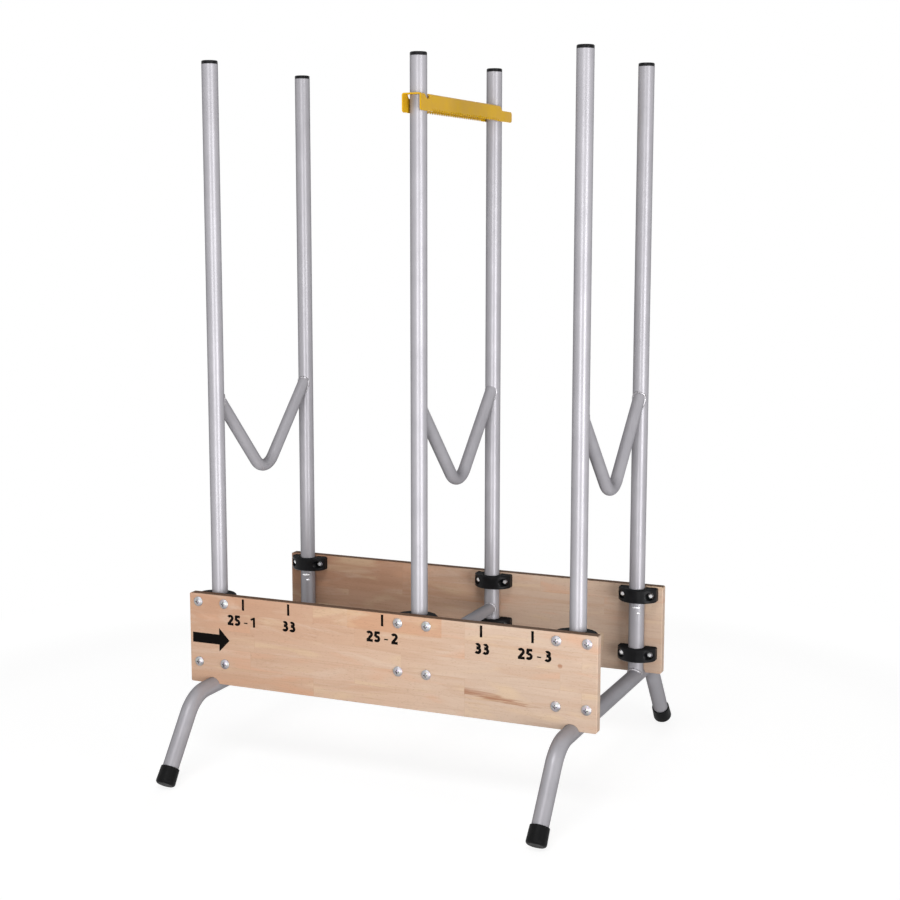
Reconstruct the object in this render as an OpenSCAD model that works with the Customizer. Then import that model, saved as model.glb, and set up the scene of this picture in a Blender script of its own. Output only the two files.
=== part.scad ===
// Log saw stand: three tube frames bolted between two boards, with a toothed log holder that
// slides on the middle posts. Sizes are in millimetres. +Z is up, +X runs along the boards and
// the front board faces -Y. The origin is on the ground, under the middle of the stand.

/* [Boards] */
// Length of each board
board_length = 704; // [690:1:900]
// Height of each board
board_height = 150; // [140:5:220]
// Thickness of each board
board_thickness = 15; // [12:1:25]
// Height of the boards' lower edges above the axis of the foot tubes
board_lift = 3; // [0:0.5:6]
// Corner radius of the boards, seen from the front
board_corner_radius = 4; // [2:0.5:10]
// Radius along the boards' edges
board_edge_radius = 1.5; // [0.5:0.25:4]

/* [Tubes] */
// Outer diameter of the posts and the foot tubes
tube_d = 26; // [24:0.5:30]
// Wall of the posts and the foot tubes
tube_wall = 1.5; // [1:0.25:3]
// Outer diameter of the cradle bars and the cross tube
bar_d = 20; // [14:0.5:22]
// Wall of the cradle bars and the cross tube
bar_wall = 1.5; // [1:0.25:3]

/* [Frames] */
// Distance between the axes of a frame's front and rear posts
post_spacing = 304; // [260:2:360]
// Height of the posts' upper ends above the ground
post_top = 1130; // [900:5:1300]
// Distance from the end of a board to the axis of the end posts
end_inset = 41; // [36:1:60]
// Place of the middle frame along the boards, from their middle
middle_offset = 50; // [0:1:100]
// Length of the middle posts below their lower clamps
middle_post_tail = 8; // [4:1:12]

/* [Feet] */
// Height of the foot tubes' axis above the ground
foot_axis = 129; // [110:1:160]
// Distance from the middle to the corner where a foot tube's axis turns down
foot_corner_y = 237; // [225:1:270]
// Angle of the legs from upright
leg_angle = 36.5; // [25:0.5:45]
// Radius of the foot tubes' bends, at their axis
foot_bend_radius = 65; // [40:1:80]
// Diameter of the rubber feet at their lower rim
foot_cap_d = 31.5; // [31:0.5:36]
// Diameter of the rubber feet at their mouth
foot_mouth_d = 30; // [29:0.5:34]
// Length of the rubber feet
foot_cap_length = 28; // [20:1:40]
// Thickness of the rubber below the tube's end
foot_cap_floor = 5; // [3:0.5:8]
// Radius of the lower rim of the rubber feet
foot_rim_radius = 4.5; // [1:0.5:5]
// Depth that the rubber is pressed flat on the ground
foot_flat = 0.8; // [0.5:0.1:1.5]

/* [Cradle] */
// Height at which the cradle bars' axes meet the posts' axes
cradle_height = 608; // [480:2:700]
// Slope of the cradle bars
cradle_angle = 45.5; // [35:0.5:50]
// Radius of the cradle bars' bend, at their axis
cradle_bend_radius = 41; // [25:1:60]
// Height of the cross tube above the middle frame's lower clamps
cross_tube_gap = 8; // [2:0.5:10]

/* [Clamps] */
// Width of a clamp along the board
clamp_width = 66; // [64:1:70]
// Height of a clamp
clamp_height = 23; // [20:1:28]
// Thickness of a clamp in front of the tube
clamp_wall = 6; // [5:0.5:9]
// Thickness of a clamp at its ends
clamp_end = 10; // [8:0.5:12]
// Corner radius of a clamp, seen from the front
clamp_corner_radius = 3; // [1:0.5:5]
// Chamfer along the edges of a clamp's bow
clamp_chamfer = 1.5; // [0.5:0.25:2.5]
// Distance from the boards' upper edges down to the upper clamps
upper_clamp_drop = 13.8; // [13:0.2:24]
// Distance from the boards' lower edges up to the end frames' lower clamps
end_clamp_lift = 35.2; // [30:0.2:50]
// Distance from the boards' lower edges up to the middle frame's lower clamps
middle_clamp_lift = 59.2; // [36:0.2:66]

/* [Bolts] */
// Distance between the two bolts of a clamp
bolt_spacing = 48.4; // [46:0.2:49]
// Diameter of the bolts
bolt_d = 6; // [5:0.5:6]
// Diameter of the bolt heads
bolt_head_d = 16; // [12:0.2:17]
// Height of the bolt heads
bolt_head_height = 4.4; // [3:0.2:6]
// Height of the straight rim of the bolt heads
bolt_head_rim = 1; // [0.6:0.2:2]
// Length of the cross recess in the bolt heads
recess_length = 7; // [5:0.2:7.6]
// Width of the cross recess
recess_width = 1.8; // [1:0.1:2]
// Depth of the cross recess
recess_depth = 2.2; // [1:0.2:2.4]
// Width of the nuts across their flats
nut_flats = 10; // [9.5:0.1:10.5]
// Height of the nuts
nut_height = 5; // [4:0.2:6]
// Length of the bolts beyond their nuts
bolt_tail = 2; // [1:0.5:3]
// Diameter of the nut pockets in the clamps
pocket_d = 14; // [13:0.2:14.4]
// Thickness of a clamp under its nuts
pocket_floor = 8; // [5:0.5:9]

/* [End plugs] */
// Height of the end plugs above the posts
plug_head = 5.5; // [4:0.5:8]
// Radius of the end plugs' upper rim
plug_rim_radius = 2; // [1:0.25:3]
// Length of the end plugs inside the posts
plug_stem = 18; // [12:1:30]

/* [Log holder] */
// Length of the log holder in front of the front post's axis
holder_front_reach = 26; // [22:1:40]
// Length of the log holder behind the rear post's axis
holder_rear_reach = 41; // [30:1:50]
// Distance from the posts' upper ends down to the log holder's top
holder_drop = 55.5; // [40:0.5:120]
// Depth of the log holder, from its top to the tips of its teeth
holder_depth = 25.5; // [22:0.5:30]
// Depth of the tab at the log holder's left front corner
tab_depth = 28.5; // [24:0.5:36]
// Radius of the corners at the log holder's ends
holder_corner_radius = 5; // [2:0.5:6]
// Thickness of the log holder's sheet
holder_sheet = 2; // [1.5:0.25:3]
// Inner radius of the log holder's bends
holder_bend_radius = 1.5; // [1:0.25:2.5]
// Gap between the posts and the log holder's sides
holder_clearance = 0.5; // [0.4:0.1:0.8]
// Length of the log holder's toothed edges
toothed_length = 270; // [200:1:270]
// Distance between the log holder's teeth
tooth_pitch = 9; // [6:0.5:14]
// Height of the log holder's teeth
tooth_height = 5; // [2:0.25:6]
// Radius of the round windows in the log holder's sides at the posts
window_radius = 10; // [8:0.5:12]
// Height of the windows' centres above the log holder's top
window_rise = 2; // [0.5:0.25:3]

/* [Hidden] */
// Gaps that keep fitted pieces from touching: tube on board, weld, clamp on tube, tube in notch,
// tube in rubber foot, plug in post, bolt in hole and bolt in nut
seat_gap = 0.3;
weld_gap = 0.2;
clamp_gap = 0.2;
notch_gap = 0.5;
foot_gap = 0.2;
plug_gap = 0.2;
bolt_gap = 0.25;
thread_gap = 0.1;
// How far a cut runs past the solid that it cuts
overrun = 1;
// A tube's bends are a hair thicker than its straight runs, which end a little inside them
bend_swell = 0.05;
bend_entry = 1;
// Fineness of round shapes
$fn = 64;

// Frames from left to right, the two sides of the stand and the two levels of clamps
places = ["left", "middle", "right"];
sides = ["front", "rear"];
levels = ["upper", "lower"];
side_signs = [-1, 1];
middle_place = 1;
end_x = board_length / 2 - end_inset;
frame_x = [-end_x, middle_offset, end_x];
post_y = post_spacing / 2;

// Boards: inner_face is the distance of their inner faces from the middle plane
board_bottom = foot_axis + board_lift;
board_top = board_bottom + board_height;
inner_face = post_y + tube_d / 2 + seat_gap;

// Clamps and bolts
upper_clamp_z = board_top - upper_clamp_drop;
end_clamp_z = board_bottom + end_clamp_lift;
middle_clamp_z = board_bottom + middle_clamp_lift;
clamp_bore = tube_d + 2 * clamp_gap;
tube_seat = tube_d / 2 + seat_gap;
clamp_depth = tube_seat + tube_d / 2 + clamp_wall;
bow_rise = clamp_depth - clamp_end;
bow_radius = ((clamp_width / 2) ^ 2 + bow_rise ^ 2) / (2 * bow_rise);
bolt_hole_d = bolt_d + 2 * bolt_gap;
bolt_length = board_thickness + pocket_floor + nut_height + bolt_tail;
head_crown = bolt_head_height - bolt_head_rim;
head_sphere = ((bolt_head_d / 2) ^ 2 + head_crown ^ 2) / (2 * head_crown);

// Middle posts and their cross tube
middle_post_bottom = middle_clamp_z - clamp_height / 2 - middle_post_tail;
cross_tube_z = middle_clamp_z + clamp_height / 2 + cross_tube_gap + bar_d / 2;

// Foot tubes: their bends, and the legs down to the rubber feet, measured from the corner
foot_turn = 90 - leg_angle;
foot_bend_reach = foot_bend_radius * tan(foot_turn / 2);
foot_bend_start = foot_corner_y - foot_bend_reach;
foot_bend_z = foot_axis - foot_bend_radius;
rim_circle = foot_cap_d / 2 - foot_rim_radius;
foot_end_z = rim_circle * sin(leg_angle) + foot_rim_radius * (1 - cos(leg_angle)) - foot_flat;
leg_reach = (foot_axis - foot_end_z) / cos(leg_angle);
foot_end_y = foot_corner_y + leg_reach * sin(leg_angle);
leg_length = leg_reach - foot_cap_floor - foot_bend_reach;

// Cradle bars: their bend's centre, and the length of their straight legs to the posts' axes
cradle_corner_z = cradle_height - post_y * tan(cradle_angle);
cradle_bend_z = cradle_corner_z + cradle_bend_radius / cos(cradle_angle);
cradle_leg = (post_y - cradle_bend_radius * sin(cradle_angle)) / cos(cradle_angle);

// Log holder
holder_top = post_top - holder_drop;
holder_inside = tube_d + 2 * holder_clearance;
holder_width = holder_inside + 2 * holder_sheet;
holder_front_end = -post_y - holder_front_reach;
holder_rear_end = post_y + holder_rear_reach;
window_depth = window_radius - window_rise;
tooth_count = floor(toothed_length / tooth_pitch);
tooth_start = -tooth_count * tooth_pitch / 2;

// Node names
function post_name(place, side) = str(places[place], "_", sides[side], "_post");
function plug_name(place, side) = str(places[place], "_", sides[side], "_post_plug");
function clamp_name(place, side, level) =
    str(places[place], "_", sides[side], "_", levels[level], "_clamp");
function cradle_name(place) = str(places[place], "_cradle_bar");
function foot_tube_name(place) = str(places[place], "_foot_tube");
function foot_name(place, side) = str(places[place], "_", sides[side], "_rubber_foot");
function board_name(side) = str(sides[side], "_board");
function bolts_name(side) = str(sides[side], "_board_bolts");
function nuts_name(side) = str(sides[side], "_board_nuts");

all_places = [0 : len(places) - 1];
all_sides = [0 : len(sides) - 1];
all_levels = [0 : len(levels) - 1];
end_places = [0, 2];

function clamp_z(place, level) =
    levels[level] == "upper" ? upper_clamp_z : place == middle_place ? middle_clamp_z : end_clamp_z;

// Rectangle with round corners, from the origin
module round_rectangle(width, height, radius) {
    translate([radius, 0])
        square([width - 2 * radius, height]);
    translate([0, radius])
        square([width, height - 2 * radius]);
    for (x = [radius, width - radius], y = [radius, height - radius])
        translate([x, y])
            circle(r = radius);
}

// Children drawn beside the front board, with y = 0 on its inner face and +y towards the middle,
// and set on the front or the rear side of the stand
module on_side(side) {
    mirror([0, sides[side] == "rear" ? 1 : 0, 0])
        translate([0, -inner_face, 0])
            children();
}

// Children set at each bolt of a board, with +Y along the bolt
module at_bolts() {
    for (place = all_places, level = all_levels, end = side_signs)
        translate([frame_x[place] + end * bolt_spacing / 2, 0, clamp_z(place, level)])
            children();
}

// Straight round bar along +Y
module bar_along_y(diameter, length) {
    rotate([-90, 0, 0])
        cylinder(d = diameter, h = length);
}

// Bend of a tube in the YZ plane, from first to last degrees, where 0 is down and 90 is +Y
module bend(radius, diameter, first, last) {
    rotate([0, 90, 0])
        rotate([0, 0, first])
            rotate_extrude(angle = last - first)
                translate([radius, 0])
                    circle(r = diameter / 2 + bend_swell);
}

// Blank of a board before it is drilled, with its edges rounded in all three directions
module board_blank() {
    intersection() {
        translate([-board_length / 2, 0, board_bottom])
            rotate([90, 0, 0])
                linear_extrude(board_thickness)
                    round_rectangle(board_length, board_height, board_corner_radius);
        translate([-board_length / 2, -board_thickness, board_bottom])
            linear_extrude(board_height)
                round_rectangle(board_length, board_thickness, board_edge_radius);
        translate([-board_length / 2, -board_thickness, board_bottom])
            rotate([90, 0, 90])
                linear_extrude(board_length)
                    round_rectangle(board_thickness, board_height, board_edge_radius);
    }
}

module board(side) {
    color("burlywood")
        on_side(side)
            difference() {
                board_blank();
                at_bolts()
                    translate([0, -board_thickness - overrun, 0])
                        bar_along_y(bolt_hole_d, board_thickness + 2 * overrun);
                for (place = end_places)
                    translate([frame_x[place], -board_thickness - overrun, foot_axis])
                        bar_along_y(tube_d + 2 * notch_gap, board_thickness + 2 * overrun);
            }
}

// Space that the two posts of a frame take up, with the gap left at a weld
module post_space(place) {
    for (sign = side_signs)
        translate([frame_x[place], sign * post_y, 0])
            cylinder(d = tube_d + 2 * weld_gap, h = post_top);
}

// The end frames' posts are cut to sit on the foot tubes
module post(place, side) {
    bottom = place == middle_place ? middle_post_bottom : foot_axis;
    color("silver")
        difference() {
            translate([frame_x[place], side_signs[side] * post_y, bottom])
                difference() {
                    cylinder(d = tube_d, h = post_top - bottom);
                    translate([0, 0, -overrun])
                        cylinder(d = tube_d - 2 * tube_wall, h = post_top - bottom + 2 * overrun);
                }
            translate([frame_x[place], -foot_corner_y, foot_axis])
                bar_along_y(tube_d + 2 * weld_gap, 2 * foot_corner_y);
        }
}

module post_plug(place, side) {
    stem_radius = tube_d / 2 - tube_wall - plug_gap;
    color("#1b1b1d")
        translate([frame_x[place], side_signs[side] * post_y, post_top])
            rotate_extrude() {
                square([tube_d / 2, plug_head - plug_rim_radius]);
                square([tube_d / 2 - plug_rim_radius, plug_head]);
                translate([tube_d / 2 - plug_rim_radius, plug_head - plug_rim_radius])
                    circle(r = plug_rim_radius);
                translate([0, -plug_stem])
                    square([stem_radius, plug_stem]);
            }
}

// Outline in space of a cradle bar of the given diameter: two sloping legs and the bend between
module cradle_run(diameter) {
    translate([0, 0, cradle_bend_z]) {
        bend(cradle_bend_radius, diameter, -cradle_angle, cradle_angle);
        for (sign = side_signs)
            rotate([sign * (90 - cradle_angle), 0, 0])
                translate([0, -sign * cradle_bend_radius, -bend_entry])
                    cylinder(d = diameter, h = cradle_leg + bend_entry);
    }
}

module cradle_bar(place) {
    color("silver")
        difference() {
            translate([frame_x[place], 0, 0])
                difference() {
                    cradle_run(bar_d);
                    cradle_run(bar_d - 2 * bar_wall);
                }
            post_space(place);
        }
}

module middle_cross_tube() {
    color("silver")
        difference() {
            translate([middle_offset, -post_y, cross_tube_z])
                difference() {
                    bar_along_y(bar_d, post_spacing);
                    bar_along_y(bar_d - 2 * bar_wall, post_spacing);
                }
            post_space(middle_place);
        }
}

// Outline in space of a foot tube of the given diameter: the level run, two bends and two legs
module foot_tube_run(diameter) {
    level_run = 2 * (foot_bend_start + bend_entry);
    translate([0, -level_run / 2, foot_axis])
        bar_along_y(diameter, level_run);
    for (turned = [0, 1])
        mirror([0, turned, 0])
            translate([0, foot_bend_start, foot_bend_z]) {
                bend(foot_bend_radius, diameter, 180 - foot_turn, 180);
                rotate([-foot_turn, 0, 0])
                    translate([0, -bend_entry, foot_bend_radius])
                        bar_along_y(diameter, leg_length + bend_entry);
            }
}

module foot_tube(place) {
    color("silver")
        translate([frame_x[place], 0, 0])
            difference() {
                foot_tube_run(tube_d);
                foot_tube_run(tube_d - 2 * tube_wall);
            }
}

// Half of a rubber foot's section, from its closed end up to its mouth
module rubber_foot_section() {
    difference() {
        union() {
            polygon([
                [0, 0],
                [rim_circle, 0],
                [foot_cap_d / 2, foot_rim_radius],
                [foot_mouth_d / 2, foot_cap_length],
                [0, foot_cap_length]
            ]);
            translate([rim_circle, foot_rim_radius])
                circle(r = foot_rim_radius);
        }
        translate([0, foot_cap_floor])
            square([tube_d / 2 + foot_gap, foot_cap_length]);
    }
}

// The rubber foot follows the slope of its leg and is flat where it stands on the ground
module rubber_foot(place, side) {
    ground = 2 * foot_cap_length;
    sign = side_signs[side];
    color("#161617")
        translate([frame_x[place], sign * foot_end_y, 0])
            difference() {
                translate([0, 0, foot_end_z])
                    rotate([sign * leg_angle, 0, 0])
                        rotate_extrude()
                            rubber_foot_section();
                translate([-ground / 2, -ground / 2, -ground])
                    cube(ground);
            }
}

// Round drum with chamfered edges, whose front is the bow of a clamp
module clamp_drum() {
    translate([0, clamp_depth - bow_radius, 0])
        rotate_extrude()
            polygon([
                [0, -clamp_height / 2],
                [bow_radius - clamp_chamfer, -clamp_height / 2],
                [bow_radius, clamp_chamfer - clamp_height / 2],
                [bow_radius, clamp_height / 2 - clamp_chamfer],
                [bow_radius - clamp_chamfer, clamp_height / 2],
                [0, clamp_height / 2]
            ]);
}

// Room for the tube in a clamp, seen from above: round, and open towards the board
module clamp_opening() {
    translate([0, tube_seat])
        circle(d = clamp_bore);
    translate([-clamp_bore / 2, -overrun])
        square([clamp_bore, tube_seat + overrun]);
}

module clamp(place, side, level) {
    color("#202022")
        on_side(side)
            translate([frame_x[place], 0, clamp_z(place, level)])
                difference() {
                    intersection() {
                        clamp_drum();
                        translate([-clamp_width / 2, clamp_depth, -clamp_height / 2])
                            rotate([90, 0, 0])
                                linear_extrude(clamp_depth)
                                    round_rectangle(clamp_width, clamp_height, clamp_corner_radius);
                    }
                    translate([0, 0, -clamp_height / 2 - overrun])
                        linear_extrude(clamp_height + 2 * overrun)
                            clamp_opening();
                    for (end = side_signs)
                        translate([end * bolt_spacing / 2, 0, 0]) {
                            translate([0, -overrun, 0])
                                bar_along_y(bolt_hole_d, clamp_depth);
                            translate([0, pocket_floor, 0])
                                bar_along_y(pocket_d, clamp_depth);
                        }
                }
}

// Round head with a cross recess, its flat side at y = 0 and its crown towards -Y
module bolt_head() {
    difference() {
        rotate([90, 0, 0])
            rotate_extrude()
                intersection() {
                    square([bolt_head_d / 2, bolt_head_height]);
                    translate([0, bolt_head_height - head_sphere])
                        circle(r = head_sphere);
                }
        for (turn = [0, 90])
            rotate([0, turn, 0])
                translate([-recess_length / 2, -bolt_head_height - overrun, -recess_width / 2])
                    cube([recess_length, recess_depth + overrun, recess_width]);
    }
}

module bolts(side) {
    color("gainsboro")
        on_side(side)
            at_bolts()
                translate([0, -board_thickness, 0]) {
                    bolt_head();
                    bar_along_y(bolt_d, bolt_length);
                }
}

module nuts(side) {
    nut_corners = nut_flats / cos(30);
    color("gainsboro")
        on_side(side)
            at_bolts()
                translate([0, pocket_floor, 0])
                    rotate([-90, 0, 0])
                        difference() {
                            cylinder(d = nut_corners, h = nut_height, $fn = 6);
                            translate([0, 0, -overrun])
                                cylinder(d = bolt_d + 2 * thread_gap, h = nut_height + 2 * overrun);
                        }
}

// Section of the log holder's channel, open downwards, with its top at y = 0
module channel_outline(width, depth, radius) {
    translate([-width / 2, -depth])
        square([width, depth - radius]);
    translate([radius - width / 2, -depth])
        square([width - 2 * radius, depth]);
    for (end = side_signs)
        translate([end * (width / 2 - radius), -radius])
            circle(r = radius);
}

module channel_section() {
    difference() {
        channel_outline(holder_width, tab_depth, holder_bend_radius + holder_sheet);
        translate([0, -holder_sheet])
            channel_outline(holder_inside, tab_depth, holder_bend_radius);
    }
}

// What is cut off a square corner to round it, with the corner at the origin and the cut in +x, +y
module corner_waste(radius) {
    difference() {
        translate([-overrun, -overrun])
            square(radius + overrun);
        translate([radius, radius])
            circle(r = radius);
    }
}

// One side of the log holder seen along X, with its top at y = 0 and the rear post's open slot cut
// away. Each tooth gives the points of its root and its tip.
module holder_side(front_depth) {
    holder_root = holder_depth - tooth_height;
    teeth = [
        for (tooth = [0 : tooth_count - 1], point = [0, 1])
            [tooth_start + (tooth + point / 2) * tooth_pitch, -holder_root - point * tooth_height]
    ];
    difference() {
        polygon(concat(
            [[holder_front_end, 0], [holder_front_end, -front_depth], [tooth_start, -front_depth]],
            teeth,
            [
                [-tooth_start, -holder_root],
                [-tooth_start, -holder_depth],
                [holder_rear_end, -holder_depth],
                [holder_rear_end, -window_depth],
                [post_y, -window_depth],
                [post_y, 0]
            ]
        ));
        translate([holder_front_end, -front_depth])
            corner_waste(holder_corner_radius);
        translate([holder_rear_end, -holder_depth])
            mirror([1, 0])
                corner_waste(holder_corner_radius);
        translate([holder_rear_end, -window_depth])
            rotate(180)
                corner_waste(holder_corner_radius);
    }
}

// Both sides of the log holder, each as thick as its whole width. The left one has the deep tab.
module holder_sides() {
    rotate([90, 0, 90]) {
        linear_extrude(holder_width)
            holder_side(holder_depth);
        translate([0, 0, -holder_width])
            linear_extrude(holder_width)
                holder_side(tab_depth);
    }
}

// Bent sheet that the middle posts run through. Their holes also open a window in both its sides.
module log_holder() {
    color("goldenrod")
        translate([middle_offset, 0, holder_top])
            difference() {
                intersection() {
                    translate([0, holder_rear_end, 0])
                        rotate([90, 0, 0])
                            linear_extrude(holder_rear_end - holder_front_end)
                                channel_section();
                    holder_sides();
                }
                for (sign = side_signs)
                    translate([0, sign * post_y, 0]) {
                        translate([0, 0, -tab_depth])
                            cylinder(d = holder_inside, h = tab_depth + overrun);
                        translate([-holder_width, 0, window_rise])
                            rotate([0, 90, 0])
                                cylinder(r = window_radius, h = 2 * holder_width);
                    }
            }
}

for (side = all_sides) {
    board(side);
    bolts(side);
    nuts(side);
}
for (place = all_places, side = all_sides) {
    post(place, side);
    post_plug(place, side);
}
for (place = all_places, side = all_sides, level = all_levels)
    clamp(place, side, level);
for (place = all_places)
    cradle_bar(place);
for (place = end_places)
    foot_tube(place);
for (place = end_places, side = all_sides)
    rubber_foot(place, side);
middle_cross_tube();
log_holder();
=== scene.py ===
"""Looks of the log saw stand: finishes, printed scale, weld beads, studio light and camera."""

import math

import bmesh
import bpy
from mathutils import Matrix, Vector, noise


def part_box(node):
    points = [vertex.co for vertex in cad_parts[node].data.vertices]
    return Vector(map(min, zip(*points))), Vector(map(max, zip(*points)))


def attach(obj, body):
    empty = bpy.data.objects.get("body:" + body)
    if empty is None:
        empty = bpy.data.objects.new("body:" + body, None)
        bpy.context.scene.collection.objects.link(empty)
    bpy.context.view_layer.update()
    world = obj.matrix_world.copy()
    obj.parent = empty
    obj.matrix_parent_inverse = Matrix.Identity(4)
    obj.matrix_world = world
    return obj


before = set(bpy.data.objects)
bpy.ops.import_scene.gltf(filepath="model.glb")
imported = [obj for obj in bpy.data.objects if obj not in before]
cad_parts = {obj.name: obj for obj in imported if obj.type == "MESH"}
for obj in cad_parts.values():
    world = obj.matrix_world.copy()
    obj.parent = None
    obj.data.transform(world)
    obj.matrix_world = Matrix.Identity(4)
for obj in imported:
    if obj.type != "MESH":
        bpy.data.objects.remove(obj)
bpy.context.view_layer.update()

MM = 0.001
BLACK = (0, 0, 0, 1)
WHITE = (1, 1, 1, 1)
BOARD_LOW, BOARD_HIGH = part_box("front_board")
FACE_Y = BOARD_LOW.y


# Helpers for node trees and objects

class Tree:
    """A node tree, with short calls for the nodes that the finishes use."""

    def __init__(self, owner):
        owner.use_nodes = True
        self.nodes = owner.node_tree.nodes
        self.links = owner.node_tree.links

    def feed(self, node, inputs):
        """Feeds a node's inputs by name. Each value is a number, a colour or another node's socket."""
        for name, value in inputs.items():
            if isinstance(value, bpy.types.NodeSocket):
                self.links.new(value, node.inputs[name])
            else:
                node.inputs[name].default_value = value

    def node(self, kind, inputs=None, **settings):
        """A new node with its settings and inputs."""
        made = self.nodes.new(kind)
        for name, value in settings.items():
            setattr(made, name, value)
        self.feed(made, inputs or {})
        return made

    def math(self, operation, first, second=0.0):
        return self.node("ShaderNodeMath", {0: first, 1: second}, operation=operation).outputs[0]

    def product(self, first, *others):
        """All the values multiplied with each other."""
        for other in others:
            first = self.math("MULTIPLY", first, other)
        return first

    def object_point(self):
        """The place on the piece in metres, in the frame of the CAD."""
        return self.node("ShaderNodeTexCoord").outputs["Object"]

    def axes(self, point):
        """The X, Y and Z of a point or direction."""
        return self.node("ShaderNodeSeparateXYZ", {0: point}).outputs

    def upward(self):
        """1 on faces that look up, where dust dulls the gloss and the boards take painted shade, and 0 on
        upright ones.
        """
        steep, flat = 0.4, 0.9
        normal = self.node("ShaderNodeNewGeometry").outputs["Normal"]
        return self.between(self.axes(normal)["Z"], steep, flat)

    def noise(self, point, scale, detail=2, roughness=0.5, distortion=0.0):
        """Clouds of values round 0.5. The scale counts them in a metre, along all axes or along each."""
        if isinstance(scale, tuple):
            point = self.node("ShaderNodeMapping", {"Vector": point, "Scale": scale}).outputs[0]
            scale = 1.0
        inputs = {"Vector": point, "Scale": scale, "Detail": detail}
        inputs.update({"Roughness": roughness, "Distortion": distortion})
        return self.node("ShaderNodeTexNoise", inputs).outputs[0]

    def between(self, value, low, high, to_low=0.0, to_high=1.0):
        """The value eased from the range low..high into to_low..to_high."""
        inputs = {"Value": value, "From Min": low, "From Max": high}
        inputs.update({"To Min": to_low, "To Max": to_high})
        made = self.node("ShaderNodeMapRange", inputs, interpolation_type="SMOOTHSTEP")
        return made.outputs[0]

    def mix(self, share, under, over, blend="MIX"):
        """One colour laid over another by a share."""
        inputs = {0: share, 6: under, 7: over}
        made = self.node("ShaderNodeMix", inputs, data_type="RGBA", blend_type=blend)
        return made.outputs[2]

    def layer(self, under, over, value, start, full, most=1.0):
        """One colour laid over another, by no share at the value start and by the most at the value full."""
        return self.mix(self.between(value, start, full, to_high=most), under, over)

    def ramp(self, value, stops):
        """A colour for each value, from stops of a place and a colour."""
        made = self.node("ShaderNodeValToRGB", {"Fac": value})
        points = made.color_ramp.elements
        while len(points) < len(stops):
            points.new(1.0)
        for point, (place, colour) in zip(points, stops):
            point.position = place
            point.color = colour
        return made.outputs["Color"]

    def bump(self, height, depth, strength=1.0, below=None):
        """A relief of the given depth in metres, on top of the relief below it."""
        inputs = {"Height": height, "Distance": depth, "Strength": strength}
        if below is not None:
            inputs["Normal"] = below
        return self.node("ShaderNodeBump", inputs).outputs[0]


def srgb(red, green, blue):
    """A colour given in 0..255 display values, as linear light."""
    def linear(value):
        share = value / 255
        return share / 12.92 if share <= 0.04045 else ((share + 0.055) / 1.055) ** 2.4
    return (linear(red), linear(green), linear(blue), 1.0)


def finish(name):
    """A new material, its node tree and its shader."""
    material = bpy.data.materials.new(name)
    tree = Tree(material)
    return material, tree, tree.nodes["Principled BSDF"]


def new_object(name, shape, material):
    """A new object in the scene with the shape of a bmesh, which is used up."""
    mesh = bpy.data.meshes.new(name)
    shape.to_mesh(mesh)
    shape.free()
    mesh.materials.append(material)
    made = bpy.data.objects.new(name, mesh)
    bpy.context.scene.collection.objects.link(made)
    return made


def angles(first, last, steps):
    """Evenly spaced angles in radians, from the first to the last angle in degrees."""
    return [math.radians(first + (last - first) * step / steps) for step in range(steps + 1)]


# Beech of the boards

STAVE_HEIGHT = 30.5 * MM
STAVE_LENGTH = 262 * MM
GLUE_LINE = 0.25 * MM
# The staves shift along the board by this share of their depth, so that the two boards differ
DEPTH_SHIFT = 0.77
# How far apart the staves' grain lies along each axis, in metres
GRAIN_SPREAD = (3.1, 1.7, 2.3, 1)
# Where each tint lies in the spread of the staves' shades, and the tint
STAVE_TINTS = (
    (0.0, srgb(213, 181, 157)),
    (0.4, srgb(216, 186, 163)),
    (0.75, srgb(211, 177, 152)),
    (1.0, srgb(207, 169, 142)),
)
WOOD = {
    "ruddy": srgb(194, 151, 124),
    "pale": srgb(206, 181, 161),
    "peach": srgb(205, 155, 122),
    "streak": srgb(194, 155, 128),
    "cream": srgb(222, 200, 181),
    # Painted shade of the rear board, and its grain bands darkened within that shade
    "rear_shade_tone": srgb(236, 216, 206),
    "shaded_grain_band": srgb(160, 116, 90),
    "warm_patch": srgb(214, 166, 136),
    "straw_patch": srgb(220, 193, 160),
    "fibre": srgb(178, 138, 111),
    "fleck": srgb(146, 106, 82),
    "glue": srgb(164, 122, 95),
    "heart": srgb(168, 123, 97),
    "knot": srgb(172, 124, 96),
    # Painted shade for the boards' top edges, as if shaded from above
    "painted_top_shade": srgb(100, 75, 58),
}


def beech():
    """Glued beech: staves along X with their own tint, streaky grain and short dark flecks."""
    fleck_share, glue_share, top_shade_share = 0.35, 0.22, 0.85
    material, tree, shader = finish("beech")
    point = tree.object_point()
    axes = tree.axes(point)
    shade, glue = beech_staves(tree, axes)
    grain = beech_grain(tree, point, shade)
    flecks = tree.between(grain["flecks"], 0.62, 0.74)
    upward = tree.upward()

    wood = beech_ground(tree, axes, shade)
    wood = beech_figure(tree, axes, grain, wood)
    wood = tree.mix(tree.product(flecks, fleck_share), wood, WOOD["fleck"])
    wood = tree.mix(tree.product(glue, glue_share), wood, WOOD["glue"])
    wood = tree.mix(brown_streak(tree, axes, grain), wood, WOOD["heart"])
    wood = tree.mix(pin_knot(tree, axes, grain), wood, WOOD["knot"])
    # Painted shade: faces that look up, the boards' top edges, are darkened as if shaded from above
    wood = tree.mix(tree.product(upward, top_shade_share), wood, WOOD["painted_top_shade"])

    gloss = tree.between(grain["fine"], 0.3, 0.7, to_low=0.42, to_high=0.56)
    relief = tree.bump(grain["fine"], 0.06 * MM, strength=0.6)
    tree.feed(shader, {
        "Base Color": wood,
        "Roughness": tree.math("MAXIMUM", gloss, upward),
        "Specular IOR Level": 0.12,
        "Normal": tree.bump(flecks, -0.05 * MM, strength=0.6, below=relief),
    })
    return material


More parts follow.
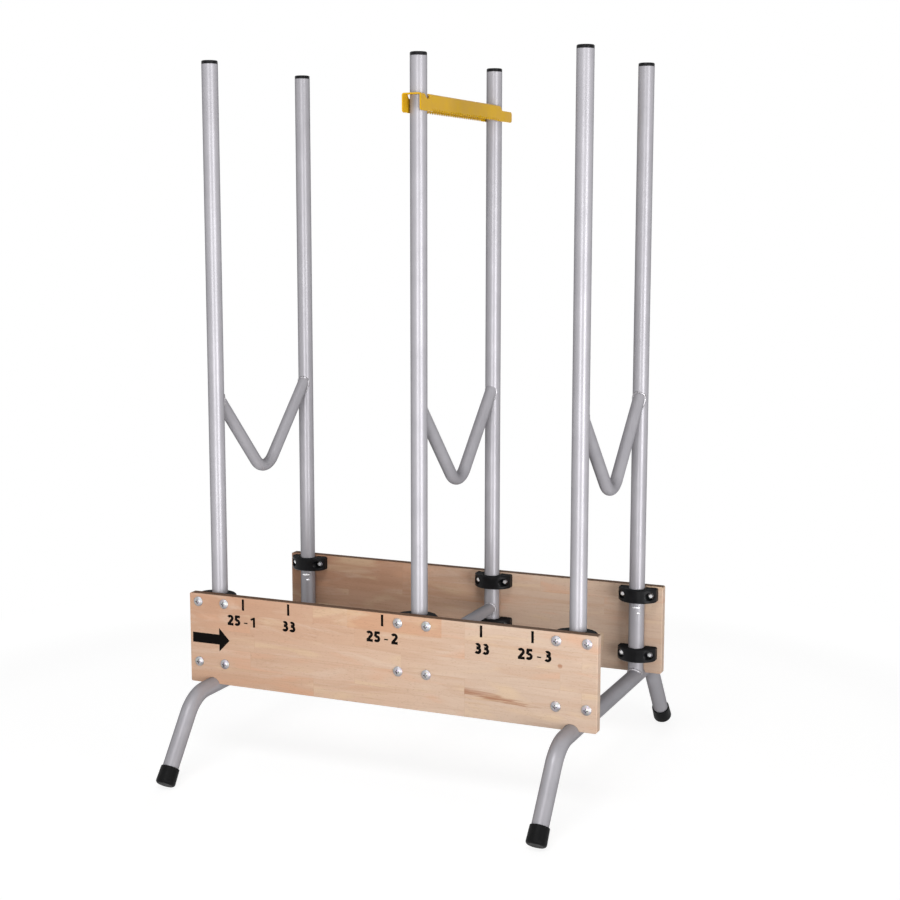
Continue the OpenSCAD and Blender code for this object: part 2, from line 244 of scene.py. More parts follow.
def beech_staves(tree, axes):
    """A shade from 0 to 1 for each stave, and the share of the glue lines between the staves."""
    along = tree.math("ADD", axes["X"], tree.product(axes["Y"], DEPTH_SHIFT))
    above = tree.math("SUBTRACT", axes["Z"], BOARD_LOW.z - STAVE_HEIGHT)
    staves = tree.node(
        "ShaderNodeTexBrick",
        {
            "Vector": tree.node("ShaderNodeCombineXYZ", {"X": along, "Y": above}).outputs[0],
            "Scale": 1.0,
            "Color1": BLACK,
            "Color2": WHITE,
            "Mortar": (0.5, 0.5, 0.5, 1),
            "Mortar Size": GLUE_LINE,
            "Mortar Smooth": 0.3,
            "Brick Width": STAVE_LENGTH,
            "Row Height": STAVE_HEIGHT,
        },
        offset=0.41,
        offset_frequency=3,
        squash=0.72,
        squash_frequency=2,
    )
    return staves.outputs["Color"], staves.outputs["Fac"]


def beech_grain(tree, point, shade):
    """Noises of the grain from broad to fine, stretched along X. Each stave has its own part of them."""
    own_shift = tree.mix(1.0, shade, GRAIN_SPREAD, "MULTIPLY")
    own_point = tree.node("ShaderNodeVectorMath", {0: point, 1: own_shift}, operation="ADD").outputs[0]
    return {
        "streaks": tree.noise(own_point, (3.4, 46, 46), detail=4, roughness=0.55, distortion=1.1),
        "figure": tree.noise(own_point, (5, 26, 26), detail=4, roughness=0.6, distortion=2.0),
        "patches": tree.noise(own_point, (7, 30, 30), distortion=0.6),
        "fine": tree.noise(own_point, (14, 420, 420), detail=3, roughness=0.6),
        "flecks": tree.noise(own_point, (190, 1500, 1500), detail=1),
    }


def beech_ground(tree, axes, shade):
    """The staves' tints, ruddier to the upper left and paler to the right, with one peach stave."""
    ruddy_from, ruddy_full = 140 * MM, -330 * MM
    lower, upper = 170 * MM, 275 * MM
    pale_from, pale_full = -60 * MM, 230 * MM
    wood = tree.ramp(shade, STAVE_TINTS)
    leftward = tree.between(axes["X"], ruddy_from, ruddy_full, to_high=0.75)
    upward = tree.between(axes["Z"], lower, upper, to_low=0.42, to_high=1.2)
    wood = tree.mix(tree.product(leftward, upward), wood, WOOD["ruddy"])
    wood = tree.layer(wood, WOOD["pale"], axes["X"], pale_from, pale_full, most=0.9)
    return tree.mix(peach_stave(tree, axes), wood, WOOD["peach"])


def beech_figure(tree, axes, grain, wood):
    """The grain laid over the wood. The rear board carries painted shade that deepens to the left, where its
    grain shows in darker bands.
    """
    rear_shade_from, rear_shade_full = 60 * MM, -200 * MM
    wood = tree.layer(wood, WOOD["streak"], grain["streaks"], start=0.48, full=0.74, most=0.5)
    wood = tree.layer(wood, WOOD["cream"], grain["figure"], start=0.5, full=0.72, most=0.42)
    # Painted shade on the rear board, deepening to the left, with grain bands drawn darker inside it
    rear = tree.math("GREATER_THAN", axes["Y"], 0.0)
    rear_shade = tree.product(rear, tree.between(axes["X"], rear_shade_from, rear_shade_full, to_high=0.35))
    wood = tree.mix(rear_shade, wood, WOOD["rear_shade_tone"], "MULTIPLY")
    shaded_grain_bands = tree.product(rear_shade, tree.between(grain["streaks"], 0.42, 0.62, to_high=0.45))
    wood = tree.mix(shaded_grain_bands, wood, WOOD["shaded_grain_band"])
    wood = tree.layer(wood, WOOD["warm_patch"], grain["patches"], start=0.54, full=0.72, most=0.55)
    wood = tree.layer(wood, WOOD["straw_patch"], grain["patches"], start=0.46, full=0.3, most=0.55)
    return tree.layer(wood, WOOD["fibre"], grain["fine"], start=0.48, full=0.75, most=0.24)


def peach_stave(tree, axes):
    """Share of the ruddier stave at the middle of the front board's upper edge."""
    left, right, low = -62 * MM, 100 * MM, 252 * MM
    most = 0.6
    beyond_left = tree.math("GREATER_THAN", axes["X"], left)
    before_right = tree.math("LESS_THAN", axes["X"], right)
    upper = tree.math("GREATER_THAN", axes["Z"], low)
    in_front = tree.math("LESS_THAN", axes["Y"], 0.0)
    return tree.product(beyond_left, before_right, upper, in_front, most)


def brown_streak(tree, axes, grain):
    """Share of the brown heartwood wedge that runs out to the right on the front board's face."""
    first_x, last_x = 138 * MM, 290 * MM
    first_z, last_z = 173 * MM, 161 * MM
    half_height = 4.4 * MM
    blunt_end = 0.2
    fade = 70 * MM
    wander = 20 * MM
    ragged = 22 * MM
    skin = 4 * MM
    outer_edge, inner_edge = 1.4, 0.4
    run = tree.between(axes["X"], first_x, last_x)
    middle = tree.math("ADD", tree.product(run, last_z - first_z), first_z)
    loose = tree.product(tree.math("SUBTRACT", grain["streaks"], 0.5), wander, run)
    rough = tree.product(tree.math("SUBTRACT", grain["fine"], 0.5), ragged)
    off = tree.math("ADD", tree.math("SUBTRACT", axes["Z"], middle), tree.math("ADD", loose, rough))
    reach = tree.product(tree.math("SUBTRACT", 1 + blunt_end, run), half_height)
    share_off = tree.math("DIVIDE", tree.math("ABSOLUTE", off), reach)
    inside = tree.between(share_off, outer_edge, inner_edge)
    started = tree.math("GREATER_THAN", axes["X"], first_x)
    ended = tree.between(axes["X"], last_x, last_x - fade)
    in_front = tree.math("LESS_THAN", axes["Y"], FACE_Y + skin)
    fibres = tree.between(grain["fine"], 0.36, 0.58, to_low=0.45, to_high=0.95)
    return tree.product(inside, started, ended, in_front, fibres)


def pin_knot(tree, axes, grain):
    """Share of the small knot near the front board's right end."""
    knot_x, knot_z, radius = 293 * MM, 230 * MM, 4.6 * MM
    outer_edge, inner_edge = 1.0, 0.2
    across = tree.math("DIVIDE", tree.math("SUBTRACT", axes["X"], knot_x), radius)
    up = tree.math("DIVIDE", tree.math("SUBTRACT", axes["Z"], knot_z), radius)
    away = tree.math("ADD", tree.product(across, across), tree.product(up, up))
    uneven = tree.between(grain["fine"], 0.3, 0.65, to_low=0.4, to_high=0.9)
    in_front = tree.math("LESS_THAN", axes["Y"], 0.0)
    return tree.product(tree.between(away, outer_edge, inner_edge), uneven, in_front)


# Finishes of the metal, plastic and rubber pieces, and the printing ink

def silver_coat():
    """Satin silver coating on the tubes, with a fine orange peel and faint handling marks."""
    darker, lighter = srgb(165, 163, 168), srgb(171, 169, 174)
    glint, rubbed = srgb(185, 183, 188), srgb(146, 144, 148)
    material, tree, shader = finish("silver_tube")
    point = tree.object_point()
    cloud = tree.noise(point, 22, detail=3, roughness=0.55)
    flakes = tree.noise(point, 2600, detail=1)
    peel = tree.noise(point, 420)
    rub = tree.noise(point, (90, 90, 14), detail=4, roughness=0.6)
    coat = tree.layer(darker, lighter, cloud, start=0.35, full=0.7)
    coat = tree.layer(coat, glint, flakes, start=0.35, full=0.75, most=0.25)
    coat = tree.layer(coat, rubbed, rub, start=0.66, full=0.8, most=0.2)
    tree.feed(shader, {
        "Base Color": coat,
        "Metallic": 0.24,
        "Roughness": tree.between(rub, 0.3, 0.8, to_low=0.34, to_high=0.4),
        "Specular IOR Level": 0.0,
        "Specular Tint": (0.12, 0.12, 0.12, 1),
        "Normal": tree.bump(peel, 0.02 * MM, strength=0.5),
    })
    return material


def moulded_plastic():
    """Satin black plastic of the clamps and end plugs, with a spark-eroded mould texture."""
    darker, lighter, dusty = srgb(14, 14, 16), srgb(22, 22, 24), srgb(80, 76, 72)
    material, tree, shader = finish("black_plastic")
    point = tree.object_point()
    texture = tree.noise(point, 1400, roughness=0.6)
    flow = tree.noise(point, 60, detail=3)
    dust = tree.noise(point, 330, detail=4, roughness=0.7)
    body = tree.layer(darker, lighter, flow, start=0.3, full=0.7)
    body = tree.layer(body, dusty, dust, start=0.66, full=0.8, most=0.18)
    gloss = tree.between(flow, 0.3, 0.7, to_low=0.32, to_high=0.4)
    tree.feed(shader, {
        "Base Color": body,
        "Roughness": tree.math("MAXIMUM", gloss, tree.upward()),
        "IOR": 1.3,
        "Specular IOR Level": 0.3,
        "Normal": tree.bump(texture, 0.03 * MM, strength=0.5),
    })
    return material


def rubber():
    """Matt black rubber of the feet, a little dusty towards the ground."""
    darker, lighter, dusty = srgb(10, 10, 11), srgb(17, 17, 18), srgb(84, 79, 74)
    dust_height = 14 * MM
    material, tree, shader = finish("black_rubber")
    point = tree.object_point()
    pores = tree.noise(point, 900, detail=3, roughness=0.6)
    scuff = tree.noise(point, 120, detail=5, roughness=0.7)
    low = tree.between(tree.axes(point)["Z"], dust_height, 0.0)
    dust = tree.product(low, tree.between(scuff, 0.45, 0.75, to_high=0.45))
    body = tree.layer(darker, lighter, pores, start=0.35, full=0.7)
    tree.feed(shader, {
        "Base Color": tree.mix(dust, body, dusty),
        "Roughness": tree.between(scuff, 0.3, 0.7, to_low=0.42, to_high=0.58),
        "Specular IOR Level": 0.1,
        "Normal": tree.bump(pores, 0.05 * MM, strength=0.5),
    })
    return material


def zinc(name, outside, inside, tarnished, smoothest, roughest, dents):
    """Zinc plating, mottled between a clean and a tarnished grey, with painted shade darkening its corners
    and recesses.

    The clean grey is one outside and one inside the boards, where the bolts end in their nuts; a lighter
    inside grey paints a highlight on the bolt ends.
    """
    corner_shade, corner_shade_reach = srgb(48, 44, 42), 2 * MM
    spangle_share = 0.12
    material, tree, shader = finish(name)
    point = tree.object_point()
    spangle = tree.node("ShaderNodeTexVoronoi", {"Vector": point, "Scale": 650}).outputs["Color"]
    tarnish = tree.noise(point, 240, detail=4, roughness=0.65)
    depth = tree.math("ABSOLUTE", tree.axes(point)["Y"])
    # Painted shade: ambient occlusion darkens the recesses and the rim where the piece meets the board
    occlusion = tree.node("ShaderNodeAmbientOcclusion", {"Distance": corner_shade_reach}, samples=8).outputs["AO"]
    # Inside the boards the plate takes its inside grey, which on the bolts is a painted highlight on their
    # ends
    plate = tree.mix(tree.math("LESS_THAN", depth, -BOARD_HIGH.y), outside, inside)
    plate = tree.mix(spangle_share, plate, spangle, "OVERLAY")
    plate = tree.layer(plate, tarnished, tarnish, start=0.5, full=0.78, most=0.6)
    plate = tree.layer(plate, corner_shade, occlusion, start=0.8, full=0.35, most=0.85)
    tree.feed(shader, {
        "Base Color": plate,
        "Metallic": 1.0,
        "Roughness": tree.between(tarnish, 0.3, 0.75, smoothest, roughest),
        "Normal": tree.bump(tarnish, dents),
    })
    return material


def yellow_coat():
    """Yellow coating of the log holder, scuffed down to the steel on the tips of its teeth."""
    darker, lighter, steel = srgb(215, 166, 20), srgb(221, 174, 28), srgb(150, 142, 130)
    # As in the part's source: the holder's depth down to the tips, and the length of its toothed edges
    holder_depth, toothed_length = 25.5 * MM, 270 * MM
    wear_start, wear_full = 1.4 * MM, 0.2 * MM
    material, tree, shader = finish("yellow_sheet")
    point = tree.object_point()
    axes = tree.axes(point)
    peel = tree.noise(point, 500)
    cloud = tree.noise(point, 35, detail=3, roughness=0.55)
    chips = tree.noise(point, 700, detail=4, roughness=0.7)
    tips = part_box("log_holder")[1].z - holder_depth
    at_tips = tree.between(axes["Z"], tips + wear_start, tips + wear_full)
    on_teeth = tree.math("LESS_THAN", tree.math("ABSOLUTE", axes["Y"]), toothed_length / 2)
    worn = tree.product(at_tips, tree.between(chips, 0.45, 0.62), on_teeth)
    coat = tree.layer(darker, lighter, cloud, start=0.35, full=0.7)
    tree.feed(shader, {
        "Base Color": tree.mix(worn, coat, steel),
        "Metallic": worn,
        "Roughness": tree.between(cloud, 0.3, 0.7, to_low=0.36, to_high=0.48),
        "Specular IOR Level": 0.15,
        "Normal": tree.bump(peel, 0.02 * MM, strength=0.5),
    })
    return material


def weld_metal():
    """Coated weld beads: blotchy and bumpy, with a little brown scale left on them."""
    darker, lighter, brown = srgb(120, 117, 120), srgb(206, 204, 208), srgb(92, 68, 58)
    material, tree, shader = finish("weld_metal")
    point = tree.object_point()
    blotch = tree.noise(point, 260, detail=4, roughness=0.65)
    scale = tree.noise(point, 150, detail=3, roughness=0.6)
    lumps = tree.noise(point, 420, detail=3, roughness=0.6)
    metal = tree.layer(darker, lighter, blotch, start=0.38, full=0.62)
    tree.feed(shader, {
        "Base Color": tree.layer(metal, brown, scale, start=0.6, full=0.72, most=0.7),
        "Metallic": 0.6,
        "Roughness": tree.between(blotch, 0.3, 0.7, to_low=0.42, to_high=0.24),
        "Normal": tree.bump(lumps, 0.5 * MM, strength=0.8),
    })
    return material


def printing_ink():
    """Black ink printed on wood, thinner where the grain shows through."""
    black, thin = srgb(7, 5, 4), srgb(62, 44, 32)
    material, tree, shader = finish("printing_ink")
    grain = tree.noise(tree.object_point(), (40, 900, 900), detail=3, roughness=0.65)
    tree.feed(shader, {
        "Base Color": tree.layer(black, thin, grain, start=0.58, full=0.85, most=0.2),
        "Roughness": tree.between(grain, 0.3, 0.7, to_low=0.55, to_high=0.7),
        "Specular IOR Level": 0.05,
        "Normal": tree.bump(grain, 0.02 * MM, strength=0.4),
    })
    return material


# Near-white zinc: a painted highlight on the bolt ends inside the boards and on the stop beads
GLINT_ZINC = srgb(240, 240, 242)
HEAD_ZINC = srgb(172, 170, 173)
# Darkened as painted shade for the nuts that sit deep in the clamps' pockets
NUT_ZINC_IN_SHADE = srgb(128, 127, 129)
head_plating = zinc(
    "zinc_heads",
    outside=HEAD_ZINC,
    inside=GLINT_ZINC,
    tarnished=srgb(98, 94, 93),
    smoothest=0.42,
    roughest=0.56,
    dents=0.05 * MM,
)
nut_plating = zinc(
    "zinc_nuts",
    outside=NUT_ZINC_IN_SHADE,
    inside=NUT_ZINC_IN_SHADE,
    tarnished=srgb(52, 51, 52),
    smoothest=0.16,
    roughest=0.3,
    dents=0.4 * MM,
)
stop_plating = zinc(
    "zinc_stops",
    outside=GLINT_ZINC,
    inside=GLINT_ZINC,
    tarnished=srgb(120, 118, 118),
    smoothest=0.2,
    roughest=0.4,
    dents=0.3 * MM,
)
silver = silver_coat()
plastic = moulded_plastic()
finish_of_ending = {
    "_board": beech(),
    "_post": silver,
    "_bar": silver,
    "_tube": silver,
    "_clamp": plastic,
    "_plug": plastic,
    "_bolts": head_plating,
    "_nuts": nut_plating,
    "_foot": rubber(),
    "_holder": yellow_coat(),
}
for name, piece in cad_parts.items():
    ending = "_" + name.split("_")[-1]
    piece.data.materials.clear()
    piece.data.materials.append(finish_of_ending[ending])


# Printed scale on the front board

INK_PROUD = 0.06 * MM
INK_DEEP = 0.1 * MM
LAYER_STEP = 0.005 * MM

ink = printing_ink()


def printed_outlines(name, outlines):
    """Flat printed shapes on the front board's face, from outlines of x and z points.

    Each shape is a hair prouder than the one before, so that overlapping strokes don't share a face.
    """
    shapes = bmesh.new()
    for layer, outline in enumerate(outlines):
        front_y = FACE_Y - INK_PROUD - layer * LAYER_STEP
        front = [shapes.verts.new((x, front_y, z)) for x, z in outline]
        back = [shapes.verts.new((x, FACE_Y + INK_DEEP, z)) for x, z in outline]
        shapes.faces.new(front)
        shapes.faces.new(back[::-1])
        for index in range(len(outline)):
            after = (index + 1) % len(outline)
            shapes.faces.new((front[after], front[index], back[index], back[after]))
    bmesh.ops.recalc_face_normals(shapes, faces=shapes.faces)
    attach(new_object(name, shapes, ink), "stand")


def rectangle(left, right, low, top):
    return ((left, low), (right, low), (right, top), (left, top))


# Tick marks: the shares of one metre that the scale marks off

TICK_SHARES = (1 / 4, 1 / 3, 1 / 2, 2 / 3, 3 / 4)
SCALE_LENGTH = 1000 * MM
SCALE_MIDDLE = -1 * MM
TICK_WIDTH = 4.1 * MM
TICK_LOW = 260.6 * MM
TICK_TOP = 279.2 * MM

tick_middles = [SCALE_MIDDLE + (share - 0.5) * SCALE_LENGTH for share in TICK_SHARES]
printed_outlines("scale_ticks", [
    rectangle(middle - TICK_WIDTH / 2, middle + TICK_WIDTH / 2, TICK_LOW, TICK_TOP)
    for middle in tick_middles
])


# Digits: the pen's width, the outlines and the step to the next digit are in shares of a digit's height

PEN = 0.26
DIGIT_STEP = 0.72
ARC_STEPS = 16


def arc(x, z, radius, first, last):
    """Points along a circle, from the first to the last angle in degrees."""
    turns = angles(first, last, ARC_STEPS)
    return [(x + radius * math.cos(turn), z + radius * math.sin(turn)) for turn in turns]


def stroke(line):
    """Outline of a pen stroke along a line of points."""
    left, right = [], []
    for index, (x, z) in enumerate(line):
        ahead = line[min(index + 1, len(line) - 1)]
        behind = line[max(index - 1, 0)]
        run, rise = ahead[0] - behind[0], ahead[1] - behind[1]
        length = math.hypot(run, rise)
        across = (-rise / length * PEN / 2, run / length * PEN / 2)
        left.append((x + across[0], z + across[1]))
        right.append((x - across[0], z - across[1]))
    return left + right[::-1]


DIGIT_OUTLINES = {
    "1": [[(0.27, 0), (0.49, 0), (0.49, 1), (0.32, 1), (0.0, 0.81), (0.09, 0.65), (0.27, 0.75)]],
    "2": [
        stroke(arc(0.31, 0.69, 0.21, 155, -35) + [(0.13, 0.1)]),
        stroke([(0.03, 0.095), (0.64, 0.095)]),
    ],
    "3": [
        stroke(arc(0.28, 0.735, 0.165, 140, -90) + [(0.17, 0.57)]),
        stroke([(0.17, 0.53)] + arc(0.28, 0.315, 0.215, 90, -145)),
    ],
    "5": [
        stroke([(0.11, 0.905), (0.6, 0.905)]),
        stroke([(0.21, 0.97), (0.17, 0.5)]),
        stroke(arc(0.29, 0.315, 0.215, 128, -145)),
    ],
}
DIGIT_LOW = 234.4 * MM
DIGIT_HEIGHT = 16.6 * MM
# Widens the digits and their steps
DIGIT_STRETCH = 1.08


def number_outlines(text, left):
    """Outlines of a printed number's strokes, from its left edge."""
    width = DIGIT_HEIGHT * DIGIT_STRETCH
    return [
        [(left + (x + place * DIGIT_STEP) * width, DIGIT_LOW + z * DIGIT_HEIGHT) for x, z in outline]
        for place, digit in enumerate(text)
        for outline in DIGIT_OUTLINES[digit]
    ]


# Labels: the name and left edge of each, and the count that follows the dash

DASH_AFTER = 31 * MM
DASH_WIDTH = 6.8 * MM
DASH_HEIGHT = 1.9 * MM
DASH_LOW = DIGIT_LOW + 4.7 * MM
COUNT_AFTER = 43 * MM
QUARTER_LABELS = (
    ("quarter", -280.8 * MM, "1"),
    ("half", -28.7 * MM, "2"),
    ("three_quarters", 225.2 * MM, "3"),
)
THIRD_LABELS = (("one_third", -179 * MM), ("two_thirds", 155.1 * MM))

for label, left, count in QUARTER_LABELS:
    dash_left = left + DASH_AFTER
    dash = rectangle(dash_left, dash_left + DASH_WIDTH, DASH_LOW, DASH_LOW + DASH_HEIGHT)
    printed_outlines(
        f"scale_{label}_label",
        number_outlines("25", left) + [dash] + number_outlines(count, left + COUNT_AFTER),
    )
for label, left in THIRD_LABELS:
    printed_outlines(f"scale_{label}_label", number_outlines("33", left))


# Arrow: the shaft and the head reach this far above and below its middle

ARROW_LEFT = -347 * MM
ARROW_NECK = -296.8 * MM
ARROW_TIP = -277.4 * MM
ARROW_MIDDLE = 207.4 * MM
ARROW_SHAFT = 8.4 * MM
ARROW_HEAD = 19.8 * MM

printed_outlines("direction_arrow", [(
    (ARROW_LEFT, ARROW_MIDDLE - ARROW_SHAFT),
    (ARROW_NECK, ARROW_MIDDLE - ARROW_SHAFT),
    (ARROW_NECK, ARROW_MIDDLE - ARROW_HEAD),
    (ARROW_TIP, ARROW_MIDDLE),
    (ARROW_NECK, ARROW_MIDDLE + ARROW_HEAD),
    (ARROW_NECK, ARROW_MIDDLE + ARROW_SHAFT),
    (ARROW_LEFT, ARROW_MIDDLE + ARROW_SHAFT),
)])


# Weld beads

BEAD_SIDES = 10
BEAD_RIPPLE = 0.6 * MM
RIPPLE_LENGTH = 3 * MM
END_BLUNTNESS = 0.4
# A direction that no bead runs along
ODD_DIRECTION = Vector((0.31, 0.17, 0.93))
# Sign of Y on each side of the stand
SIDES = {"front": -1, "rear": 1}

weld = weld_metal()


def bead_ring(cord, point, along, reach):
    """A ring of points round the bead's path at one of its points."""
    across = along.cross(ODD_DIRECTION).normalized()
    over = along.cross(across)
    ring = []
    for side in range(BEAD_SIDES):
        turn = 2 * math.pi * side / BEAD_SIDES
        offset = across * math.cos(turn) * reach + over * math.sin(turn) * reach
        ring.append(cord.verts.new(point + offset))
    return ring


def bead(name, path, radius, closed=False, material=weld):
    """A weld bead along a path: a round cord with ripples, half sunk into the metal under it."""
    cord = bmesh.new()
    rings = []
    count = len(path)
    for index, point in enumerate(path):
        ahead = path[(index + 1) % count] if closed or index < count - 1 else point
        behind = path[index - 1] if closed or index > 0 else point
        swell = noise.noise(point / RIPPLE_LENGTH) * BEAD_RIPPLE
        taper = 1.0 if closed else math.sin(math.pi * (index + 0.5) / count) ** END_BLUNTNESS
        rings.append(bead_ring(cord, point, (ahead - behind).normalized(), (radius + swell) * taper))
    joins = zip(rings, rings[1:] + rings[:1]) if closed else zip(rings, rings[1:])
    for first, second in joins:
        for side in range(BEAD_SIDES):
            after = (side + 1) % BEAD_SIDES
            cord.faces.new((first[side], first[after], second[after], second[side]))
    if not closed:
        cord.faces.new(rings[0][::-1])
        cord.faces.new(rings[-1])
    bmesh.ops.recalc_face_normals(cord, faces=cord.faces)
    for face in cord.faces:
        face.smooth = True
    piece = new_object(name, cord, material)
    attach(piece, "stand")


def half_width(node):
    """Half of a node's reach along X, which is the radius of a tube that lies across X."""
    low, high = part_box(node)
    return (high.x - low.x) / 2


def post_axis(post):
    """The X and Y of a post's axis, and its radius."""
    low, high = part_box(post)
    middle = (low + high) / 2
    return middle.x, middle.y, half_width(post)


# Beads of the cradle bars and the cross tube on the posts

BAR_BEAD_RADIUS = 1.9 * MM
BAR_BEAD_STEPS = 56
# As in the part's source: the height at which the axes of bars and posts meet, and the bars' slope there
CRADLE_HEIGHT = 608 * MM
CRADLE_SLOPE = math.radians(45.5)
# Degrees on top of the middle cradle bar that stay free of bead, where the log holder comes down
HOLDER_GAP = 120


def bar_bead(name, post, bar, height, direction, gap=0):
    """Bead where a bar, with its axis at the given height on the post's axis, meets the post.

    The gap, in degrees, is left free of bead on top of the bar.
    """
    x, y, post_radius = post_axis(post)
    bar_radius = half_width(bar)
    meet = Vector((x, y, height))
    sideways = Vector((1, 0, 0))
    upwards = sideways.cross(direction).normalized()
    if upwards.z < 0:
        upwards.negate()
    facing = math.copysign(1, direction.y)
    path = []
    for turn in angles(90 + gap / 2, 450 - gap / 2, BAR_BEAD_STEPS)[:-1]:
        rim = sideways * math.cos(turn) * bar_radius + upwards * math.sin(turn) * bar_radius
        reach = math.sqrt(post_radius ** 2 - rim.x ** 2)
        run = (reach - facing * rim.y) / abs(direction.y)
        path.append(meet + rim + direction * run)
    bead(name, path, BAR_BEAD_RADIUS, closed=(gap == 0))


for place in ("left", "middle", "right"):
    gap = HOLDER_GAP if place == "middle" else 0
    for side, sign in SIDES.items():
        inward = Vector((0, -sign * math.cos(CRADLE_SLOPE), -math.sin(CRADLE_SLOPE)))
        bar_bead(
            f"{place}_{side}_cradle_weld",
            f"{place}_{side}_post",
            f"{place}_cradle_bar",
            CRADLE_HEIGHT,
            inward,
            gap,
        )

cross_low, cross_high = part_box("middle_cross_tube")
cross_height = (cross_low.z + cross_high.z) / 2
for side, sign in SIDES.items():
    inward = Vector((0, -sign, 0))
    post = f"middle_{side}_post"
    bar_bead(f"middle_{side}_cross_weld", post, "middle_cross_tube", cross_height, inward)


# Beads at the feet of the end posts, and the short ones below their upper clamps

FOOT_BEAD_RADIUS = 3 * MM
FOOT_BEAD_STEPS = 40
# Degrees round the post to each side of its inmost line
FOOT_BEAD_REACH = 75
STOP_BEAD_STEPS = 14
# How far each stop bead lies below the clamp, its first and last angle in degrees, and its radius
STOP_BEADS = {
    "upper_stop": (7.5 * MM, -18, 44, 2.2 * MM),
    "lower_stop": (17 * MM, 14, 42, 2 * MM),
}


def foot_bead(name, post, foot_tube, sign):
    """Bead round the inner half of an end post, where it stands on its foot tube."""
    x, y, radius = post_axis(post)
    axis_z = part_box(foot_tube)[1].z - radius
    path = []
    for turn in angles(-FOOT_BEAD_REACH, FOOT_BEAD_REACH, FOOT_BEAD_STEPS):
        across, inwards = radius * math.sin(turn), radius * math.cos(turn)
        path.append(Vector((x + across, y - sign * inwards, axis_z + inwards)))
    bead(name, path, FOOT_BEAD_RADIUS)


def stop_bead(name, post, sign, height, first, last, radius):
    """Short bead across the inner side of an end post, below its upper clamp."""
    x, y, post_radius = post_axis(post)
    path = []
    for turn in angles(first, last, STOP_BEAD_STEPS):
        across, inwards = post_radius * math.sin(turn), post_radius * math.cos(turn)
        path.append(Vector((x + across, y - sign * inwards, height)))
    bead(name, path, radius, material=stop_plating)


for place in ("left", "right"):
    for side, sign in SIDES.items():
        post = f"{place}_{side}_post"
        foot_bead(f"{place}_{side}_foot_weld", post, f"{place}_foot_tube", sign)
        clamp_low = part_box(f"{place}_{side}_upper_clamp")[0].z
        for stop, (drop, first, last, radius) in STOP_BEADS.items():
            stop_bead(f"{place}_{side}_{stop}", post, sign, clamp_low - drop, first, last, radius)


# Floor and background

# In metres: the radius of the floor, and the radius from which it fades into the white round it
FLOOR_RADIUS = 1.35
FLOOR_FADE = 0.8
FLOOR_SIDES = 96
# Under the stand: how much the floor glows, how much lit white is added, and how much it throws back
FLOOR_GLOW = 0.86
FLOOR_SHADE = 0.3
FLOOR_BOUNCE = 0.7
# Strength of the world's light from the sides and from the top
WORLD_SIDE = 0.22
WORLD_TOP = 0.1


def shown_rays(tree):
    """1 for the rays that show the background: seen straight, mirrored or through glass."""
    rays = tree.node("ShaderNodeLightPath").outputs
    mirrored = tree.math("MAXIMUM", rays["Is Glossy Ray"], rays["Is Transmission Ray"])
    return tree.math("MAXIMUM", rays["Is Camera Ray"], mirrored)


def shown_or_lighting(tree, lighting, shown, output):
    """One shader for the light that falls on the stand, and one for what is seen or mirrored."""
    inputs = {0: shown_rays(tree), 1: lighting.outputs[0], 2: shown.outputs[0]}
    mixed = tree.node("ShaderNodeMixShader", inputs)
    tree.feed(tree.nodes[output], {"Surface": mixed.outputs[0]})


def floor_white():
    """White that keeps the shadow of the stand and fades into the white round it."""
    material, tree, shader = finish("floor_white")
    tree.nodes.remove(shader)
    away = tree.node("ShaderNodeVectorMath", {0: tree.object_point()}, operation="LENGTH").outputs["Value"]
    near = tree.between(away, FLOOR_RADIUS, FLOOR_FADE)
    lit = tree.node("ShaderNodeBsdfDiffuse", {"Color": tree.product(near, FLOOR_SHADE)})
    glow_strength = tree.between(near, 0.0, 1.0, to_low=1.0, to_high=FLOOR_GLOW)
    glow = tree.node("ShaderNodeEmission", {"Color": WHITE, "Strength": glow_strength})
    seen = tree.node("ShaderNodeAddShader", {0: lit.outputs[0], 1: glow.outputs[0]})
    bounce = tree.node("ShaderNodeBsdfDiffuse", {"Color": (FLOOR_BOUNCE, FLOOR_BOUNCE, FLOOR_BOUNCE, 1)})
    shown_or_lighting(tree, bounce, seen, "Material Output")
    return material


def studio_floor():
    """Round floor under the stand."""
    disc = bmesh.new()
    bmesh.ops.create_circle(disc, cap_ends=True, segments=FLOOR_SIDES, radius=FLOOR_RADIUS)
    new_object("floor", disc, floor_white())


def studio_world():
    """White where it is seen or mirrored. Its light on the stand comes more from the sides than the top."""
    world = bpy.data.worlds.new("studio")
    bpy.context.scene.world = world
    tree = Tree(world)
    side_until, top_from = 0.1, 0.9
    height = tree.axes(tree.node("ShaderNodeTexCoord").outputs["Generated"])["Z"]
    strength = tree.between(height, side_until, top_from, to_low=WORLD_SIDE, to_high=WORLD_TOP)
    even = tree.nodes["Background"]
    tree.feed(even, {"Color": WHITE, "Strength": strength})
    white = tree.node("ShaderNodeBackground", {"Color": WHITE, "Strength": 1.0})
    shown_or_lighting(tree, even, white, "World Output")


# Lamps and camera

# Fitted to the photo: the place in metres, the angles in radians
CAMERA_PLACE = Vector((1.0642, -2.3833, 0.8956))
CAMERA_YAW = 0.40723
CAMERA_PITCH = 0.14498
CAMERA_ROLL = 0.00115
FOCAL_PIXELS = 1609.6
FRAME_PIXELS = 900
SENSOR_WIDTH = 36


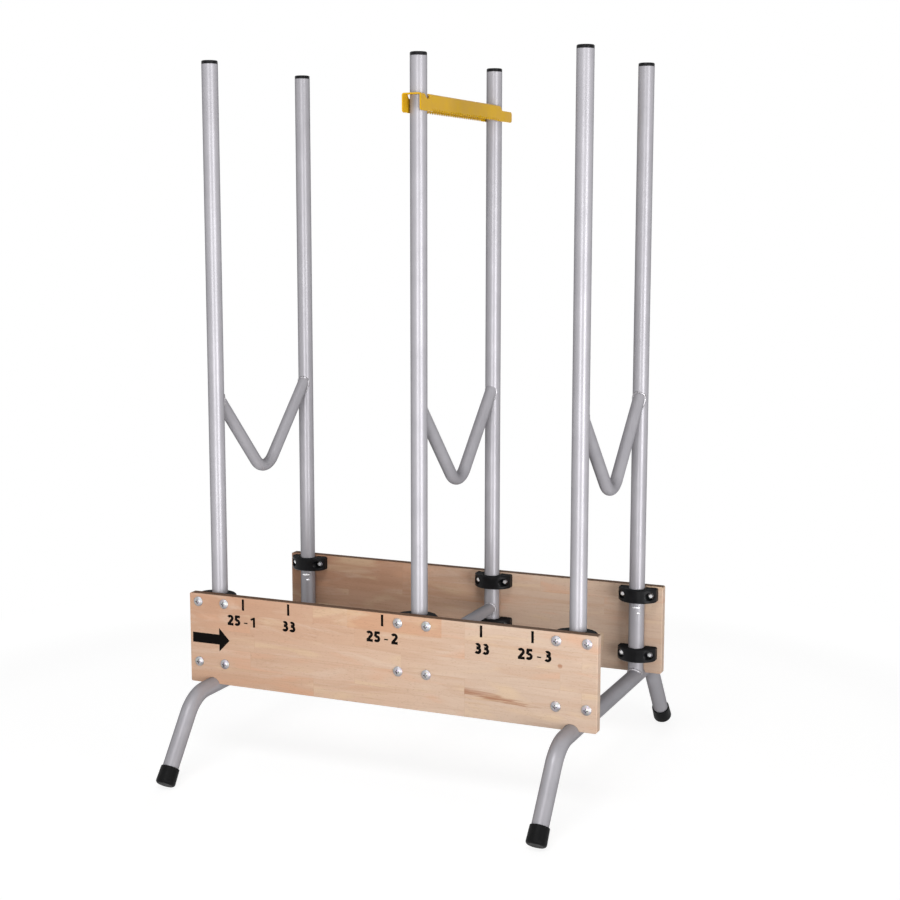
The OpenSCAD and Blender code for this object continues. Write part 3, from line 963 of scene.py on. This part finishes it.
def softbox(name, azimuth, distance, middle, aim, width, height, power):
    """Area lamp aimed at the stand's middle line. Azimuth 0 is in front of it, and 90 to its right.

    The middle is the height of the lamp's middle, and the aim is the height that it is aimed at.
    Lengths are in metres and the power is in watts.
    """
    lamp = bpy.data.lights.new(name, "AREA")
    lamp.shape = "RECTANGLE"
    lamp.size = width
    lamp.size_y = height
    lamp.energy = power
    carrier = bpy.data.objects.new(name, lamp)
    bpy.context.scene.collection.objects.link(carrier)
    carrier.visible_camera = False
    turn = math.radians(azimuth)
    outward = Vector((math.sin(turn), -math.cos(turn), 0))
    carrier.location = outward * distance + Vector((0, 0, middle))
    carrier.rotation_mode = "QUATERNION"
    towards = Vector((0, 0, aim)) - carrier.location
    carrier.rotation_quaternion = towards.to_track_quat("-Z", "Y")


def studio_camera():
    """The photo's camera: turned to the left by the yaw, down by the pitch and then rolled."""
    level = Vector((-math.sin(CAMERA_YAW), math.cos(CAMERA_YAW), 0))
    level_right = Vector((math.cos(CAMERA_YAW), math.sin(CAMERA_YAW), 0))
    upright = Vector((0, 0, 1))
    ahead = level * math.cos(CAMERA_PITCH) - upright * math.sin(CAMERA_PITCH)
    level_up = upright * math.cos(CAMERA_PITCH) + level * math.sin(CAMERA_PITCH)
    right = level_right * math.cos(CAMERA_ROLL) + level_up * math.sin(CAMERA_ROLL)
    up = level_up * math.cos(CAMERA_ROLL) - level_right * math.sin(CAMERA_ROLL)
    data = bpy.data.cameras.new("camera")
    data.sensor_width = SENSOR_WIDTH
    data.sensor_fit = "HORIZONTAL"
    data.lens = FOCAL_PIXELS / FRAME_PIXELS * SENSOR_WIDTH
    camera = bpy.data.objects.new("camera", data)
    bpy.context.scene.collection.objects.link(camera)
    turned = Matrix((right, up, -ahead)).transposed().to_4x4()
    camera.matrix_world = Matrix.Translation(CAMERA_PLACE) @ turned
    bpy.context.scene.camera = camera


studio_floor()
studio_world()
softbox("key_light", azimuth=58, distance=6.0, middle=0.0, aim=0.0, width=2.25, height=2.8, power=236)
softbox("front_light", azimuth=9, distance=4.5, middle=0.15, aim=0.15, width=1.43, height=2.3, power=100)
softbox("high_light", azimuth=12, distance=2.5, middle=3.9, aim=0.2, width=2.2, height=1.5, power=54)
softbox("left_light", azimuth=-70, distance=3.0, middle=0.6, aim=0.6, width=2.4, height=2.4, power=3)
softbox("rear_light", azimuth=195, distance=3.0, middle=0.6, aim=0.6, width=1.2, height=2.4, power=30)
studio_camera()
bpy.context.scene.view_settings.view_transform = "Standard"
